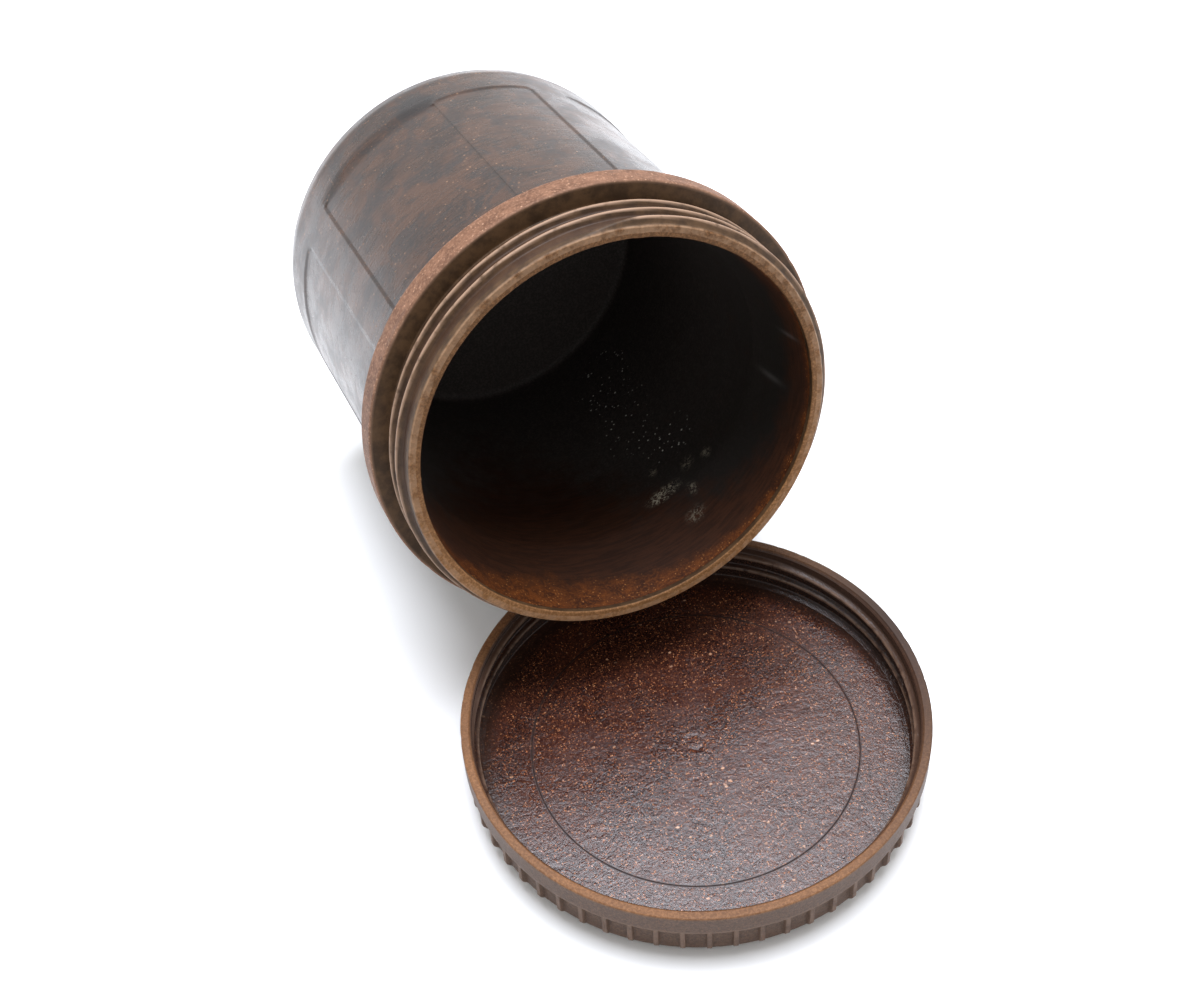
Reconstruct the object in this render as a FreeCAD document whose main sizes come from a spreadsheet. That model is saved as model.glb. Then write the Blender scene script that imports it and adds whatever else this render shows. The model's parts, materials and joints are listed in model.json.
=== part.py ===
"""Moulded phenolic inkwell: a faceted jar with a screw neck and its ribbed screw lid.

The row frame has its origin at the middle of the lid's closed face, which lies on the table
(z = 0) with the lid's open side up.  The jar leans back on the lid: the edge of its base
stands on the table behind the lid (+Y) and its mouth looks forwards (-Y) and upwards.

jar   one moulding: base ring, faceted wall, collar, threaded neck and lip
lid   one moulding: ribbed skirt, plain band, threaded inside and a flat floor

All lengths are millimetres and all angles are degrees.
"""

import FreeCAD, Part
import math
import os
import Sketcher

doc = FreeCAD.newDocument("inkwell")
sheet = doc.addObject("Spreadsheet::Sheet", "Dims")


class Size:
    """A length or angle that knows both its number and its spreadsheet expression."""

    def __init__(self, value, text):
        self.value = float(value)
        self.text = text

    def __add__(self, other):
        other = as_size(other)
        return Size(self.value + other.value, f"({self.text} + {other.text})")

    def __sub__(self, other):
        other = as_size(other)
        return Size(self.value - other.value, f"({self.text} - {other.text})")

    def __mul__(self, other):
        other = as_size(other)
        return Size(self.value * other.value, f"({self.text} * {other.text})")

    def __neg__(self):
        return Size(-self.value, f"(0 - {self.text})")


def as_size(thing):
    if isinstance(thing, Size):
        return thing
    return Size(thing, repr(float(thing)))


def cos(angle):
    return Size(math.cos(math.radians(angle.value)), f"cos({angle.text})")


def sin(angle):
    return Size(math.sin(math.radians(angle.value)), f"sin({angle.text})")


def dim(alias, number, note):
    """Write one driving dimension to the sheet and return it as a Size."""
    dim.row += 1
    sheet.set(f"A{dim.row}", note)
    sheet.set(f"B{dim.row}", str(number))
    sheet.setAlias(f"B{dim.row}", alias)
    return Size(number, f"Dims.{alias}")


dim.row = 0
ZERO = Size(0.0, "0")

# Jar, measured up its own axis from the base.
jar_length = dim("jar_length", 69.7, "base to lip")
base_radius = dim("base_radius", 31.5, "round ring that the jar stands on")
base_edge = dim("base_edge", 1.0, "rounding under the base ring")
ring_height = dim("ring_height", 10.4, "height of the round ring below the facets")
wall_radius = dim("wall_radius", 31.85, "wall between the facets")
facet_radius = dim("facet_radius", 34.5, "facets are a little flatter than the wall")
facet_pairs = dim("facet_pairs", 2, "the four facets repeat on the other half")
collar_radius = dim("collar_radius", 35.25, "collar above the facets")
collar_height = dim("collar_height", 4.2, "collar, along the axis")
collar_edge = dim("collar_edge", 0.35, "rounding of the collar's two edges")
neck_height = dim("neck_height", 8.7, "collar's front face to lip")
neck_radius = dim("neck_radius", 32.1, "neck between its thread ridges")
lip_bevel = dim("lip_bevel", 0.25, "bevel outside the lip")
mouth_radius = dim("mouth_radius", 30.3, "opening at the lip")
mouth_land = dim("mouth_land", 0.8, "straight stretch inside the lip")
throat_radius = dim("throat_radius", 28.0, "inside, behind the collar")
throat_depth = dim("throat_depth", 15.5, "lip to the end of the tapered throat")
well_radius = dim("well_radius", 27.5, "inside, at the foot of the wall")
well_corner = dim("well_corner", 2.0, "rounding between wall and floor")
well_floor = dim("well_floor", 4.6, "thickness of the jar's floor")

# The screw thread that the neck and the lid share.
pitch = dim("pitch", 2.9, "rise for one turn")
ridge_foot = dim("ridge_foot", 0.8, "half width at a ridge's foot")
ridge_top = dim("ridge_top", 0.2, "half width at a ridge's crest")
ridge_root = dim("ridge_root", 0.3, "how far a ridge is let into its wall")
neck_crest = dim("neck_crest", 33.1, "radius over the neck's ridge")
neck_turns = dim("neck_turns", 2.5, "turns on the neck")
neck_start = dim("neck_start", 0.82, "lip to the ridge's first crest")
neck_azimuth = dim("neck_azimuth", 261.7, "where the ridge leaves the collar")
lid_crest = dim("lid_crest", 32.5, "radius inside the lid's ridge")
lid_turns = dim("lid_turns", 2.0, "turns in the lid")
lid_start = dim("lid_start", 4.0, "closed face to the ridge's lowest crest")
lid_azimuth = dim("lid_azimuth", 181.0, "where the lid's ridge starts")

# Lid, measured up from its closed face.
lid_radius = dim("lid_radius", 35.0, "plain band at the open end")
lid_height = dim("lid_height", 11.0, "closed face to rim")
lid_floor = dim("lid_floor", 2.7, "thickness of the closed face")
band_height = dim("band_height", 3.9, "plain band")
skirt_radius = dim("skirt_radius", 33.9, "skirt between the ribs")
skirt_edge = dim("skirt_edge", 2.0, "rounding at the closed face")
rib_radius = dim("rib_radius", 34.7, "radius over the ribs")
rib_width = dim("rib_width", 0.75, "one rib")
rib_count = dim("rib_count", 58, "ribs around the skirt")
rib_foot = dim("rib_foot", 1.5, "closed face to a rib's lower end")
rim_bevel = dim("rim_bevel", 0.45, "bevel inside the rim")
rim_edge = dim("rim_edge", 0.25, "softened outer edge of the rim")
lid_bore = dim("lid_bore", 33.35, "inside between the ridges")
seat_radius = dim("seat_radius", 32.3, "flat floor, inside its chamfered corner")
seat_height = dim("seat_height", 0.5, "height of that chamfer")
disc_radius = dim("disc_radius", 24.9, "slightly raised disc inside")
disc_rise = dim("disc_rise", 0.15, "height of that disc")
dot_radius = dim("dot_radius", 1.3, "plain moulding ring at the centre")
dot_width = dim("dot_width", 0.35, "width of that ring")

# How the two pieces stand together.
lean = dim("lean", 13.0, "rise of the jar's axis above the table")
base_reach = dim("base_reach", 93.0, "lid's axis to the middle of the jar's base")
jar_offset = dim("jar_offset", 0.8, "the jar leans a little right of the lid's middle")
doc.recompute()

# Four shallow facets: middle and half width as azimuths on the jar, and depth at the edges.
# The front and back facets share an edge, where the front one lies a little deeper.
FACETS = (
    ("side", 174.0, 19.5, 0.15),
    ("front", 119.4, 22.0, 0.24),
    ("back", 82.5, 15.0, 0.12),
    ("far", 39.75, 16.7, 0.15),
)


def origin_plane(body, role):
    return next(item for item in body.Origin.OriginFeatures if item.Role == role)


def new_sketch(body, name, role, offset=None):
    sketch = body.newObject("Sketcher::SketchObject", name)
    sketch.AttachmentSupport = (origin_plane(body, role), "")
    sketch.MapMode = "FlatFace"
    if offset is not None:
        sketch.AttachmentOffset = offset
    return sketch


def tie(sketch, kind, references, size):
    """Add one dimension to a sketch and bind it to the sheet."""
    index = sketch.addConstraint(Sketcher.Constraint(kind, *references, size.value))
    sketch.setExpression(f"Constraints[{index}]", size.text)


def arc_between(start, end, radius):
    """The shorter arc from start to end; a positive radius turns anticlockwise."""
    chord = end - start
    half = chord.Length / 2
    rise = math.sqrt(max(radius**2 - half**2, 0.0))
    across = FreeCAD.Vector(-chord.y, chord.x, 0).normalize()
    centre = (start + end) * 0.5 + across * math.copysign(rise, radius)
    first = math.atan2(start.y - centre.y, start.x - centre.x)
    last = math.atan2(end.y - centre.y, end.x - centre.x)
    if radius < 0:
        first, last = last, first
    circle = Part.Circle(centre, FreeCAD.Vector(0, 0, 1), abs(radius))
    return Part.ArcOfCircle(circle, first, last)


def outline(sketch, corners):
    """Draw a closed outline through (x, y) corners.

    A third entry makes the stretch to the next corner an arc of that radius.
    """
    places = [FreeCAD.Vector(corner[0].value, corner[1].value, 0) for corner in corners]
    starts = []
    ends = []
    for index, corner in enumerate(corners):
        here = places[index]
        after = places[(index + 1) % len(corners)]
        if len(corner) == 2:
            edge = sketch.addGeometry(Part.LineSegment(here, after))
            first, last = 1, 2
        else:
            edge = sketch.addGeometry(arc_between(here, after, corner[2].value))
            first, last = (1, 2) if corner[2].value > 0 else (2, 1)
        starts.append((edge, first))
        ends.append((edge, last))
    for index, corner in enumerate(corners):
        edge, point = starts[index]
        sketch.addConstraint(Sketcher.Constraint("Coincident", *ends[index - 1], edge, point))
        pin_down(sketch, edge, point, "X", -2, corner[0])
        pin_down(sketch, edge, point, "Y", -1, corner[1])
        if len(corner) == 3:
            radius = corner[2] if corner[2].value > 0 else -corner[2]
            tie(sketch, "Radius", (edge,), radius)


def pin_down(sketch, edge, point, letter, axis, size):
    """Hold one corner's distance from the sketch's own origin along one axis."""
    if size.value == 0:
        sketch.addConstraint(Sketcher.Constraint("PointOnObject", edge, point, axis))
    else:
        tie(sketch, f"Distance{letter}", (-1, 1, edge, point), size)


def revolve(body, name, corners):
    sketch = new_sketch(body, f"{name}_section", "XZ_Plane")
    outline(sketch, corners)
    turned = body.newObject("PartDesign::Revolution", name)
    turned.Profile = (sketch, [""])
    turned.ReferenceAxis = (sketch, ["V_Axis"])
    turned.Angle = 360
    doc.recompute()
    return turned


def add_thread(body, name, wall, crest, height, azimuth, turns):
    """A helical ridge whose crest stands off the wall, starting at a height and azimuth."""
    side = 1 if crest.value > wall.value else -1
    inside = wall - ridge_root * side
    turn = FreeCAD.Rotation(FreeCAD.Vector(0, 1, 0), azimuth.value)
    sketch = new_sketch(body, f"{name}_section", "XZ_Plane", FreeCAD.Placement(FreeCAD.Vector(), turn))
    sketch.setExpression(
        ".AttachmentOffset.Rotation",
        f"create(<<rotation>>; create(<<vector>>; 0; 1; 0); {azimuth.text})",
    )
    outline(
        sketch,
        [
            (inside, height - ridge_foot),
            (crest, height - ridge_top),
            (crest, height + ridge_top),
            (inside, height + ridge_foot),
        ],
    )
    doc.recompute()
    ridge = body.newObject("PartDesign::AdditiveHelix", name)
    ridge.Profile = (sketch, [""])
    ridge.ReferenceAxis = (sketch, ["V_Axis"])
    ridge.Mode = 1
    ridge.setExpression("Pitch", pitch.text)
    ridge.setExpression("Turns", turns.text)
    ridge.Angle = 0
    ridge.LeftHanded = False
    ridge.Reversed = False
    doc.recompute()
    return ridge


def cut_facets(body):
    """Shave the four facets between the ring and the collar, then repeat them opposite."""
    facet_top = jar_length - neck_height - collar_height
    cuts = []
    for name, middle, half_width, edge_depth in FACETS:
        azimuth = dim(f"{name}_azimuth", middle, f"{name} facet: middle")
        half = dim(f"{name}_half", half_width, f"{name} facet: half width")
        step = dim(f"{name}_step", edge_depth, f"{name} facet: depth along its edges")
        turn = FreeCAD.Rotation(FreeCAD.Vector(0, 0, 1), azimuth.value)
        offset = FreeCAD.Placement(FreeCAD.Vector(0, 0, facet_top.value), turn)
        doc.recompute()
        sketch = new_sketch(body, f"{name}_facet_section", "XY_Plane", offset)
        sketch.setExpression(".AttachmentOffset.Base.z", facet_top.text)
        sketch.setExpression(
            ".AttachmentOffset.Rotation",
            f"create(<<rotation>>; create(<<vector>>; 0; 0; 1); {azimuth.text})",
        )
        near = wall_radius * cos(half) - step
        side = wall_radius * sin(half)
        outline(
            sketch,
            [
                (near, -side, facet_radius),
                (near, side),
                (wall_radius + 4, side),
                (wall_radius + 4, -side),
            ],
        )
        doc.recompute()
        before = body.Shape.Volume
        cut = body.newObject("PartDesign::Pocket", f"{name}_facet")
        cut.Profile = (sketch, [""])
        cut.setExpression("Length", (facet_top - ring_height).text)
        doc.recompute()
        if not cut.Shape.Volume < before - 1:
            raise SystemExit(f"the {name} facet cuts nothing")
        cuts.append(cut)
    pattern = body.newObject("PartDesign::PolarPattern", "facets")
    pattern.Originals = cuts
    pattern.Axis = (cuts[0].Profile[0], ["N_Axis"])
    pattern.Angle = 360
    pattern.setExpression("Occurrences", facet_pairs.text)
    body.Tip = pattern
    doc.recompute()


def make_jar():
    body = doc.addObject("PartDesign::Body", "Jar")
    body.Label = "jar"
    collar_front = jar_length - neck_height
    collar_back = collar_front - collar_height
    revolve(
        body,
        "jar_shell",
        [
            (ZERO, ZERO),
            (base_radius - base_edge, ZERO, base_edge),
            (base_radius, base_edge),
            (wall_radius, base_edge + 2),
            (wall_radius, collar_back),
            (collar_radius - collar_edge, collar_back, collar_edge),
            (collar_radius, collar_back + collar_edge),
            (collar_radius, collar_front - collar_edge, collar_edge),
            (collar_radius - collar_edge, collar_front),
            (neck_radius, collar_front),
            (neck_radius, jar_length - lip_bevel),
            (neck_radius - lip_bevel, jar_length),
            (mouth_radius, jar_length),
            (mouth_radius, jar_length - mouth_land),
            (throat_radius, jar_length - throat_depth),
            (well_radius, well_floor + well_corner, -well_corner),
            (well_radius - well_corner, well_floor),
            (ZERO, well_floor),
        ],
    )
    cut_facets(body)
    ridge_height = jar_length - neck_start - pitch * neck_turns
    add_thread(body, "neck_thread", neck_radius, neck_crest, ridge_height, neck_azimuth, neck_turns)
    return body


def lean_jar(body):
    """Stand the jar on the edge of its base, tipped forwards onto the lid."""
    tip = Size(90.0, "90") - lean
    body.Placement = FreeCAD.Placement(
        FreeCAD.Vector(jar_offset.value, base_reach.value, base_radius.value),
        FreeCAD.Rotation(FreeCAD.Vector(1, 0, 0), tip.value),
    )
    lift = (base_radius - base_edge) * cos(lean) - base_edge * sin(lean) + base_edge
    body.setExpression(".Placement.Base.x", jar_offset.text)
    body.setExpression(".Placement.Base.y", base_reach.text)
    body.setExpression(".Placement.Base.z", lift.text)
    body.setExpression(
        ".Placement.Rotation",
        f"create(<<rotation>>; create(<<vector>>; 1; 0; 0); {tip.text})",
    )
    doc.recompute()


def make_lid():
    body = doc.addObject("PartDesign::Body", "Lid")
    body.Label = "lid"
    band_foot = lid_height - band_height
    disc_top = lid_floor + disc_rise
    revolve(
        body,
        "lid_shell",
        [
            (ZERO, ZERO),
            (skirt_radius - skirt_edge, ZERO, skirt_edge),
            (skirt_radius, skirt_edge),
            (skirt_radius, band_foot),
            (lid_radius, band_foot),
            (lid_radius, lid_height - rim_edge),
            (lid_radius - rim_edge, lid_height),
            (lid_bore + rim_bevel, lid_height),
            (lid_bore, lid_height - rim_bevel),
            (lid_bore, lid_floor + seat_height),
            (seat_radius, lid_floor),
            (disc_radius, lid_floor),
            (disc_radius - disc_rise, disc_top),
            (dot_radius + dot_width, disc_top),
            (dot_radius, lid_floor),
            (dot_radius - dot_width, disc_top),
            (ZERO, disc_top),
        ],
    )
    add_ribs(body, band_foot)
    add_thread(body, "lid_thread", lid_bore, lid_crest, lid_start, lid_azimuth, lid_turns)
    return body


def add_ribs(body, band_foot):
    """One finger rib, rounded into the closed face, repeated around the skirt."""
    depth = rib_radius - skirt_radius
    sketch = new_sketch(body, "rib_section", "XZ_Plane")
    outline(
        sketch,
        [
            (skirt_radius - 0.4, rib_foot),
            (skirt_radius, rib_foot, depth * 2),
            (rib_radius, rib_foot + depth * 1.5),
            (rib_radius, band_foot + 0.1),
            (skirt_radius - 0.4, band_foot + 0.1),
        ],
    )
    doc.recompute()
    rib = body.newObject("PartDesign::Pad", "rib")
    rib.Profile = (sketch, [""])
    rib.setExpression("Length", rib_width.text)
    rib.Midplane = True
    doc.recompute()
    ribs = body.newObject("PartDesign::PolarPattern", "ribs")
    ribs.Originals = [rib]
    ribs.Axis = (sketch, ["V_Axis"])
    ribs.Angle = 360
    ribs.setExpression("Occurrences", rib_count.text)
    body.Tip = ribs
    doc.recompute()


def check(pieces):
    """Stop if any object failed or any piece is not one closed solid."""
    failed = [item.Name for item in doc.Objects if {"Invalid", "Error"} & set(item.State)]
    if failed:
        raise SystemExit(f"failed objects: {failed}")
    for piece in pieces:
        shape = piece.Shape
        if shape.isNull() or not shape.isValid() or len(shape.Solids) != 1:
            raise SystemExit(f"{piece.Label}: not one valid solid")


jar = make_jar()
lean_jar(jar)
lid = make_lid()
doc.recompute()
check([jar, lid])

os.makedirs("parts", exist_ok=True)
for piece in (jar, lid):
    piece.Shape.exportStep(f"parts/{piece.Label}.step")
    box = piece.Shape.optimalBoundingBox(False, False)
    print(piece.Label, [round(side, 2) for side in (box.XLength, box.YLength, box.ZLength)])
print("clearance between jar and lid", round(jar.Shape.distToShape(lid.Shape)[0], 3))
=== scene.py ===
"""Looks of the phenolic inkwell: the jar and its screw lid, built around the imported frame."""

import json
import math
import random

import bpy
import numpy as np
from mathutils import Matrix, Vector


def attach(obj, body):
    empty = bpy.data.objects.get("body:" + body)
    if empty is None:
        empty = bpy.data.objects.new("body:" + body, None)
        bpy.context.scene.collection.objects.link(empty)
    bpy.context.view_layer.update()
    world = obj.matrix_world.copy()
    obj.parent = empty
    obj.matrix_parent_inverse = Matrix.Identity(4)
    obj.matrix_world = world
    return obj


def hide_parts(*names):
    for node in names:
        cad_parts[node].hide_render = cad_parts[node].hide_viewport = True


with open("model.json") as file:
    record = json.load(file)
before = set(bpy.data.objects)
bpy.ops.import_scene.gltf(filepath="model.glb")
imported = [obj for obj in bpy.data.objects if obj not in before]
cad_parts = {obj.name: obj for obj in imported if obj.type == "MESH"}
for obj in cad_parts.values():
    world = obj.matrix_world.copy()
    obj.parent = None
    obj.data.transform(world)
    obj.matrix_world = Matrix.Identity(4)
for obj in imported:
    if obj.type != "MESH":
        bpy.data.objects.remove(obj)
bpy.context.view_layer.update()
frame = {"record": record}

MM = 0.001
WAVES = random.Random(7)

# Sizes in millimetres, the same as the CAD model's.  The jar's run up its own axis.
JAR_LENGTH = 69.7
BASE_RADIUS = 31.5
BASE_EDGE = 1.0
RING_HEIGHT = 10.4
WALL_RADIUS = 31.85
FACET_RADIUS = 34.5
COLLAR_RADIUS = 35.25
COLLAR_HEIGHT = 4.2
NECK_HEIGHT = 8.7
NECK_RADIUS = 32.1
NECK_CREST = 33.1
LIP_BEVEL = 0.25
MOUTH_RADIUS = 30.3
MOUTH_LAND = 0.8
THROAT_RADIUS = 28.0
THROAT_DEPTH = 15.5
WELL_RADIUS = 27.5
WELL_FLOOR = 4.6
PITCH = 2.9
NECK_TURNS = 2.5
NECK_START = 0.82
NECK_AZIMUTH = 261.7
LID_RADIUS = 35.0
LID_HEIGHT = 11.0
LID_FLOOR = 2.7
BAND_HEIGHT = 3.9
SKIRT_RADIUS = 33.9
SKIRT_EDGE = 2.0
RIB_RADIUS = 34.7
RIB_WIDTH = 0.75
RIB_COUNT = 58
RIB_FOOT = 1.5
RIM_BEVEL = 0.45
LID_BORE = 33.35
LID_CREST = 32.5
LID_TURNS = 2.0
LID_START = 4.0
LID_AZIMUTH = 181.0
SEAT_RADIUS = 32.3
SEAT_HEIGHT = 0.5
DISC_RADIUS = 24.9
DOT_RADIUS = 1.3
DOT_WIDTH = 0.35
COLLAR_BACK = JAR_LENGTH - NECK_HEIGHT - COLLAR_HEIGHT
COLLAR_FRONT = JAR_LENGTH - NECK_HEIGHT
BAND_FOOT = LID_HEIGHT - BAND_HEIGHT

# Sizes in millimetres that only the looks have.  The CAD model's disc is 0.15 high.
DISC_RISE = 0.08
DOT_DEPTH = 0.025
FACET_CORNER = 1.3
FACET_FOOT_BLEND = 0.6
FACET_EDGE_BLUR = 0.055
POLE_RADIUS = 0.4
DOT_POLE_RADIUS = 0.3

# Where one run of rows hands over to the next, in millimetres.
FEET_LOW = RING_HEIGHT - 2.0
FEET_HIGH = RING_HEIGHT + 2.0
WALL_TOP = COLLAR_BACK - 0.6
NECK_LOW = COLLAR_FRONT + 0.4
MOUTH_LOW = JAR_LENGTH - MOUTH_LAND
RIM_MIDDLE = LID_BORE + 1.1
DISC_SURROUND = DISC_RADIUS + 1.5

# Each facet's middle azimuth and half width in degrees, the step at its long edges and how far
# its lower end fades into the ring, both in millimetres.  All of them repeat half a turn on.
FACETS = (
    (174.0, 19.5, 0.15, 0.6),
    (119.4, 22.0, 0.24, 2.0),
    (82.5, 15.0, 0.12, 0.45),
    (39.75, 16.7, 0.15, 0.5),
)

# Most of a straight that each bend may use when both its ends are bent.
SHARED_STRAIGHT = 0.49
# Points on an outline are at least this many millimetres apart.
LEAST_GAP = 0.02
# A corner that turns by less than twice this many radians is left straight.
LEAST_TURN = 0.01


# ---------------------------------------------------------------- outlines

def rounded_path(corners, step):
    """Points along (radius, height, rounding) corners, close together round each bend."""
    places = [np.array(corner[:2], float) for corner in corners]
    path = [places[0]]
    for index in range(1, len(corners) - 1):
        before, here, after = places[index - 1], places[index], places[index + 1]
        room = (
            np.linalg.norm(before - here) * (SHARED_STRAIGHT if corners[index - 1][2] else 1),
            np.linalg.norm(after - here) * (SHARED_STRAIGHT if corners[index + 1][2] else 1),
        )
        path += bend(before, here, after, corners[index][2], min(room))
    path.append(places[-1])
    dense = [path[0]]
    for here in path[1:]:
        gap = np.linalg.norm(here - dense[-1])
        if gap < LEAST_GAP:
            continue
        count = math.ceil(gap / step)
        start = dense[-1]
        dense += [start + (here - start) * (k + 1) / count for k in range(count)]
    return np.array(dense)


def bend(before, here, after, rounding, room, pieces=4):
    """The arc that rounds one corner, reaching no further than the room beside it."""
    back = (before - here) / np.linalg.norm(before - here)
    on = (after - here) / np.linalg.norm(after - here)
    half_angle = math.acos(np.clip(back @ on, -1, 1)) / 2
    if rounding == 0 or half_angle > math.pi / 2 - LEAST_TURN:
        return [here]
    reach = min(rounding / math.tan(half_angle), room)
    rounding = reach * math.tan(half_angle)
    middle = (back + on) / np.linalg.norm(back + on)
    centre = here + middle * rounding / math.sin(half_angle)
    start = here + back * reach - centre
    end = here + on * reach - centre
    sweep = math.pi - 2 * half_angle
    points = []
    for k in range(pieces + 1):
        share = k / pieces
        first = math.sin((1 - share) * sweep) / math.sin(sweep)
        last = math.sin(share * sweep) / math.sin(sweep)
        points.append(centre + start * first + end * last)
    return points


# ---------------------------------------------------------------- relief

def smoothstep(low, high, value):
    """0 at low and 1 at high, with a smooth rise between."""
    share = np.clip((value - low) / (high - low), 0, 1)
    return share * share * (3 - 2 * share)


def waviness(turn, height, depth, rounds, length, count=14):
    """Slow random swells: at most rounds of them to a turn, and length mm or more along the axis."""
    total = np.zeros(np.broadcast(turn, height).shape)
    for _ in range(count):
        around = WAVES.randint(1, rounds)
        along = WAVES.uniform(-1, 1) * 2 * math.pi / length
        start = WAVES.uniform(0, 2 * math.pi)
        total += np.cos(around * turn + along * height + start)
    return total * depth / math.sqrt(count)


def angle_from(turn, azimuth):
    """Signed angle in radians between each azimuth and the given one in degrees."""
    return (turn - math.radians(azimuth) + math.pi) % (2 * math.pi) - math.pi


def spot(turn, height, radius, azimuth, level, wide, tall):
    """1 at one place on a round wall, fading over a width and a height in millimetres."""
    off = angle_from(turn, azimuth) * radius
    return np.exp(-((off / wide) ** 2) - ((height - level) / tall) ** 2)


def near_level(value, level, reach):
    """1 where the value is at the level, fading over reach millimetres."""
    return np.exp(-((value - level) / reach) ** 2)


def facet_cut(turn, height):
    """How far the facets lie inside the round wall, with rounded corners at the ring."""
    cut = np.zeros(np.broadcast(turn, height).shape)
    down = FACET_CORNER - (height - RING_HEIGHT)
    for middle, half_width, step, fade in FACETS:
        half = math.radians(half_width)
        side = WALL_RADIUS * math.sin(half)
        centre = WALL_RADIUS * math.cos(half) - step - math.sqrt(FACET_RADIUS**2 - side**2)
        for azimuth in (middle, middle + 180):
            off = angle_from(turn, azimuth)
            face = centre * np.cos(off) + np.sqrt(FACET_RADIUS**2 - (centre * np.sin(off)) ** 2)
            sideways = (np.abs(off) - half) * WALL_RADIUS + FACET_CORNER
            corner = np.hypot(np.maximum(sideways, 0), np.maximum(down, 0))
            outside = corner + np.minimum(np.maximum(sideways, down), 0) - FACET_CORNER
            foot = smoothstep(-FACET_FOOT_BLEND, FACET_FOOT_BLEND, down - sideways)
            blur = FACET_EDGE_BLUR + (fade - FACET_EDGE_BLUR) * foot
            inside = smoothstep(blur, -blur, outside)
            cut = np.maximum(cut, (WALL_RADIUS - face) * inside)
    return cut


def facet_edges():
    """Azimuths of the facets' long edges, in degrees."""
    return [
        (middle + sign * half_width + half_turn) % 360
        for middle, half_width, _, _ in FACETS
        for sign in (-1, 1)
        for half_turn in (0, 180)
    ]


def ridge(turn, height, start, azimuth, turns, top, foot, fade=0.12):
    """Height (0 to 1) of a helical ridge, whose half width is top at its crest and foot below."""
    rise = np.zeros(np.broadcast(turn, height).shape)
    first = np.mod(turn - math.radians(azimuth), 2 * math.pi) / (2 * math.pi)
    for whole in range(math.ceil(turns) + 1):
        travel = first + whole
        middle = start + PITCH * travel
        off = np.abs(height - middle)
        ends = smoothstep(0, fade, travel) * smoothstep(0, fade, turns - travel)
        rise = np.maximum(rise, (1 - smoothstep(top, foot, off)) * ends)
    return rise


def nicks(turn, height, level, count, depth, width, seed):
    """Small knocks scattered along an edge at one height."""
    chance = random.Random(seed)
    total = np.zeros(np.broadcast(turn, height).shape)
    for _ in range(count):
        azimuth = chance.uniform(0, 360)
        offset = chance.gauss(0, width * 0.3)
        size = width * chance.uniform(0.5, 1.3)
        total += depth * chance.uniform(0.3, 1.0) * spot(
            turn, height, WALL_RADIUS, azimuth, level + offset, size, size
        )
    return total


# ---------------------------------------------------------------- meshes

def grid_faces(rows, columns):
    """Quads between neighbouring rows, and a fan of triangles round each pole."""
    here = np.arange(columns)
    after = (here + 1) % columns
    faces = []
    for row in range(rows - 1):
        low = row * columns
        high = low + columns
        faces += np.stack([low + here, low + after, high + after, high + here], 1).tolist()
    first_pole = rows * columns
    last_pole = first_pole + 1
    last_row = first_pole - columns
    faces += [[first_pole, int(after[k]), k] for k in range(columns)]
    faces += [[last_pole, last_row + k, last_row + int(after[k])] for k in range(columns)]
    return faces


def turned_mesh(name, turn, radius, height, place, marks):
    """A closed mesh from grids of azimuth, radius and height, with the marks as attributes."""
    rows, columns = radius.shape
    grid = np.stack([radius * np.cos(turn), radius * np.sin(turn), height], axis=-1)
    points = grid.reshape(-1, 3)
    first_pole = np.array([[0, 0, height[0].mean()]])
    last_pole = np.array([[0, 0, height[-1].mean()]])
    points = np.concatenate([points, first_pole, last_pole]) * MM
    rotation = np.array(place.to_3x3())
    points = points @ rotation.T + np.array(place.translation)
    mesh = bpy.data.meshes.new(name)
    mesh.from_pydata(points.tolist(), [], grid_faces(rows, columns))
    mesh.shade_smooth()
    for mark, values in marks.items():
        layer = mesh.attributes.new(mark, "FLOAT", "POINT")
        ends = [values[0].mean(), values[-1].mean()]
        layer.data.foreach_set("value", np.concatenate([values.ravel(), ends]).astype(np.float32))
    piece = bpy.data.objects.new(name, mesh)
    bpy.context.collection.objects.link(piece)
    return piece


def spread(path, azimuths):
    """Grids of azimuth, radius and height: one row for each point of the path."""
    shape = (len(path), len(azimuths))
    turn = np.broadcast_to(np.radians(azimuths), shape)
    radius = np.broadcast_to(path[:, :1], shape)
    height = np.broadcast_to(path[:, 1:], shape)
    return turn, radius, height


def jar_foot():
    """Rows from the middle of the base up to just below the facets."""
    return rounded_path(
        [
            (POLE_RADIUS, 0, 0),
            (BASE_RADIUS, 0, BASE_EDGE),
            (BASE_RADIUS, BASE_EDGE, 0),
            (WALL_RADIUS, BASE_EDGE + 2, 0),
            (WALL_RADIUS, FEET_LOW, 0),
        ],
        step=0.75,
    )


def facet_feet():
    """Close rows over the facets' rounded lower corners."""
    corners = [(WALL_RADIUS, FEET_LOW, 0), (WALL_RADIUS, RING_HEIGHT, 0), (WALL_RADIUS, FEET_HIGH, 0)]
    return rounded_path(corners, step=0.2)


def jar_wall():
    """Rows up the facets to just below the collar."""
    return rounded_path([(WALL_RADIUS, FEET_HIGH, 0), (WALL_RADIUS, WALL_TOP, 0)], step=0.75)


def jar_collar():
    """Close rows over the collar, from the wall to the foot of the neck."""
    return rounded_path(
        [
            (WALL_RADIUS, WALL_TOP, 0),
            (WALL_RADIUS, COLLAR_BACK, 0.2),
            (COLLAR_RADIUS, COLLAR_BACK, 0.4),
            (COLLAR_RADIUS, COLLAR_FRONT, 0.3),
            (NECK_RADIUS, COLLAR_FRONT, 0.2),
            (NECK_RADIUS, NECK_LOW, 0),
        ],
        step=0.3,
    )


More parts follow.
